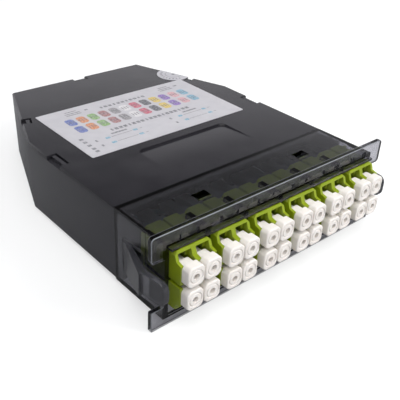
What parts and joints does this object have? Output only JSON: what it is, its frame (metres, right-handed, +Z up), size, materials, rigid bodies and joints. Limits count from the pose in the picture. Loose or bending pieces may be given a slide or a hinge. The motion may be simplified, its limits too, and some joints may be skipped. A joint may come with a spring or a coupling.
{
  "type": "fibre cassette",
  "caption": "Fibre cassette: smoke-tinted tapered housing, flanged front with two rows of green duplex adapters and white dust caps, side latches, rear multi-fibre ports.",
  "frame": {"origin": "centre of the bounding box's underside; the cassette stands on the lower flange edge and the rear of its housing", "axes": "+X to the right seen from the front, +Y from the flange to the rear, +Z up"},
  "size_m": [0.1028, 0.1346, 0.0322],
  "materials": {
    "tinted_frame": "smoke-tinted clear plastic, polished",
    "tinted_base": "smoke-tinted clear plastic, fine satin",
    "tinted_lid": "smoke-tinted clear plastic, polished",
    "tinted_latch": "smoke-tinted clear plastic, polished",
    "label_paper": "white printed label",
    "seal_paper": "white round seal",
    "green_adapter": "lime green moulding",
    "cap_plastic": "soft white moulding",
    "plug_plastic": "green moulding",
    "black_plastic": "black moulding",
    "aqua_plastic": "aqua moulding",
    "screw_steel": "zinc plated",
    "fibre_jacket": "aqua fibre jacket",
    "fibre_legs": "thin coloured fibres",
    "block_plastic": "black moulding"
  },
  "bodies": {
    "housing": {"fanout_block_left": "block_plastic", "fanout_block_right": "block_plastic", "fibre_legs_left": "fibre_legs", "fibre_legs_right": "fibre_legs", "fibre_trunk_left": "fibre_jacket", "fibre_trunk_right": "fibre_jacket", "front_frame": "tinted_frame", "lc_adapter_lower_1": "green_adapter", "lc_adapter_lower_2": "green_adapter", "lc_adapter_lower_3": "green_adapter", "lc_adapter_lower_4": "green_adapter", "lc_adapter_lower_5": "green_adapter", "lc_adapter_lower_6": "green_adapter", "lc_adapter_upper_1": "green_adapter", "lc_adapter_upper_2": "green_adapter", "lc_adapter_upper_3": "green_adapter", "lc_adapter_upper_4": "green_adapter", "lc_adapter_upper_5": "green_adapter", "lc_adapter_upper_6": "green_adapter", "lc_plugs_lower": "plug_plastic", "lc_plugs_upper": "plug_plastic", "lid": "tinted_lid", "lid_label": "label_paper", "mpo_adapter_left": "black_plastic", "mpo_adapter_right": "black_plastic", "mpo_plug_left": "aqua_plastic", "mpo_plug_right": "aqua_plastic", "mpo_screws": "screw_steel", "rear_base": "tinted_base", "seal_sticker": "seal_paper"},
    "dust_cap_lower_1": {"dust_cap_lower_1": "cap_plastic"},
    "dust_cap_lower_10": {"dust_cap_lower_10": "cap_plastic"},
    "dust_cap_lower_11": {"dust_cap_lower_11": "cap_plastic"},
    "dust_cap_lower_12": {"dust_cap_lower_12": "cap_plastic"},
    "dust_cap_lower_2": {"dust_cap_lower_2": "cap_plastic"},
    "dust_cap_lower_3": {"dust_cap_lower_3": "cap_plastic"},
    "dust_cap_lower_4": {"dust_cap_lower_4": "cap_plastic"},
    "dust_cap_lower_5": {"dust_cap_lower_5": "cap_plastic"},
    "dust_cap_lower_6": {"dust_cap_lower_6": "cap_plastic"},
    "dust_cap_lower_7": {"dust_cap_lower_7": "cap_plastic"},
    "dust_cap_lower_8": {"dust_cap_lower_8": "cap_plastic"},
    "dust_cap_lower_9": {"dust_cap_lower_9": "cap_plastic"},
    "dust_cap_upper_1": {"dust_cap_upper_1": "cap_plastic"},
    "dust_cap_upper_10": {"dust_cap_upper_10": "cap_plastic"},
    "dust_cap_upper_11": {"dust_cap_upper_11": "cap_plastic"},
    "dust_cap_upper_12": {"dust_cap_upper_12": "cap_plastic"},
    "dust_cap_upper_2": {"dust_cap_upper_2": "cap_plastic"},
    "dust_cap_upper_3": {"dust_cap_upper_3": "cap_plastic"},
    "dust_cap_upper_4": {"dust_cap_upper_4": "cap_plastic"},
    "dust_cap_upper_5": {"dust_cap_upper_5": "cap_plastic"},
    "dust_cap_upper_6": {"dust_cap_upper_6": "cap_plastic"},
    "dust_cap_upper_7": {"dust_cap_upper_7": "cap_plastic"},
    "dust_cap_upper_8": {"dust_cap_upper_8": "cap_plastic"},
    "dust_cap_upper_9": {"dust_cap_upper_9": "cap_plastic"},
    "mpo_cap_left": {"mpo_cap_left": "cap_plastic"},
    "mpo_cap_right": {"mpo_cap_right": "cap_plastic"},
    "side_latch_left": {"side_latch_left": "tinted_latch"},
    "side_latch_right": {"side_latch_right": "tinted_latch"}
  },
  "joints": [
    {"name": "dust_cap_lower_1_pull", "type": "slide", "parent": "housing", "child": "dust_cap_lower_1", "axis": [0, -1, 0], "range_m": [0, 0.012]},
    {"name": "dust_cap_lower_10_pull", "type": "slide", "parent": "housing", "child": "dust_cap_lower_10", "axis": [0, -1, 0], "range_m": [0, 0.012]},
    {"name": "dust_cap_lower_11_pull", "type": "slide", "parent": "housing", "child": "dust_cap_lower_11", "axis": [0, -1, 0], "range_m": [0, 0.012]},
    {"name": "dust_cap_lower_12_pull", "type": "slide", "parent": "housing", "child": "dust_cap_lower_12", "axis": [0, -1, 0], "range_m": [0, 0.012]},
    {"name": "dust_cap_lower_2_pull", "type": "slide", "parent": "housing", "child": "dust_cap_lower_2", "axis": [0, -1, 0], "range_m": [0, 0.012]},
    {"name": "dust_cap_lower_3_pull", "type": "slide", "parent": "housing", "child": "dust_cap_lower_3", "axis": [0, -1, 0], "range_m": [0, 0.012]},
    {"name": "dust_cap_lower_4_pull", "type": "slide", "parent": "housing", "child": "dust_cap_lower_4", "axis": [0, -1, 0], "range_m": [0, 0.012]},
    {"name": "dust_cap_lower_5_pull", "type": "slide", "parent": "housing", "child": "dust_cap_lower_5", "axis": [0, -1, 0], "range_m": [0, 0.012]},
    {"name": "dust_cap_lower_6_pull", "type": "slide", "parent": "housing", "child": "dust_cap_lower_6", "axis": [0, -1, 0], "range_m": [0, 0.012]},
    {"name": "dust_cap_lower_7_pull", "type": "slide", "parent": "housing", "child": "dust_cap_lower_7", "axis": [0, -1, 0], "range_m": [0, 0.012]},
    {"name": "dust_cap_lower_8_pull", "type": "slide", "parent": "housing", "child": "dust_cap_lower_8", "axis": [0, -1, 0], "range_m": [0, 0.012]},
    {"name": "dust_cap_lower_9_pull", "type": "slide", "parent": "housing", "child": "dust_cap_lower_9", "axis": [0, -1, 0], "range_m": [0, 0.012]},
    {"name": "dust_cap_upper_1_pull", "type": "slide", "parent": "housing", "child": "dust_cap_upper_1", "axis": [0, -1, 0], "range_m": [0, 0.012]},
    {"name": "dust_cap_upper_10_pull", "type": "slide", "parent": "housing", "child": "dust_cap_upper_10", "axis": [0, -1, 0], "range_m": [0, 0.012]},
    {"name": "dust_cap_upper_11_pull", "type": "slide", "parent": "housing", "child": "dust_cap_upper_11", "axis": [0, -1, 0], "range_m": [0, 0.012]},
    {"name": "dust_cap_upper_12_pull", "type": "slide", "parent": "housing", "child": "dust_cap_upper_12", "axis": [0, -1, 0], "range_m": [0, 0.012]},
    {"name": "dust_cap_upper_2_pull", "type": "slide", "parent": "housing", "child": "dust_cap_upper_2", "axis": [0, -1, 0], "range_m": [0, 0.012]},
    {"name": "dust_cap_upper_3_pull", "type": "slide", "parent": "housing", "child": "dust_cap_upper_3", "axis": [0, -1, 0], "range_m": [0, 0.012]},
    {"name": "dust_cap_upper_4_pull", "type": "slide", "parent": "housing", "child": "dust_cap_upper_4", "axis": [0, -1, 0], "range_m": [0, 0.012]},
    {"name": "dust_cap_upper_5_pull", "type": "slide", "parent": "housing", "child": "dust_cap_upper_5", "axis": [0, -1, 0], "range_m": [0, 0.012]},
    {"name": "dust_cap_upper_6_pull", "type": "slide", "parent": "housing", "child": "dust_cap_upper_6", "axis": [0, -1, 0], "range_m": [0, 0.012]},
    {"name": "dust_cap_upper_7_pull", "type": "slide", "parent": "housing", "child": "dust_cap_upper_7", "axis": [0, -1, 0], "range_m": [0, 0.012]},
    {"name": "dust_cap_upper_8_pull", "type": "slide", "parent": "housing", "child": "dust_cap_upper_8", "axis": [0, -1, 0], "range_m": [0, 0.012]},
    {"name": "dust_cap_upper_9_pull", "type": "slide", "parent": "housing", "child": "dust_cap_upper_9", "axis": [0, -1, 0], "range_m": [0, 0.012]},
    {"name": "mpo_cap_left_pull", "type": "slide", "parent": "housing", "child": "mpo_cap_left", "axis": [0, 1, 0], "range_m": [0, 0.012]},
    {"name": "mpo_cap_right_pull", "type": "slide", "parent": "housing", "child": "mpo_cap_right", "axis": [0, 1, 0], "range_m": [0, 0.012]},
    {"name": "side_latch_left_press", "type": "hinge", "parent": "housing", "child": "side_latch_left", "pos_m": [-0.0449, -0.04043, 0.0138], "axis": [0, 0, 1], "range_deg": [0, 4.5], "stiffness_Nm_per_rad": 0.8},
    {"name": "side_latch_right_press", "type": "hinge", "parent": "housing", "child": "side_latch_right", "pos_m": [0.0449, -0.04043, 0.0138], "axis": [0, 0, -1], "range_deg": [0, 4.5], "stiffness_Nm_per_rad": 0.8}
  ]
}
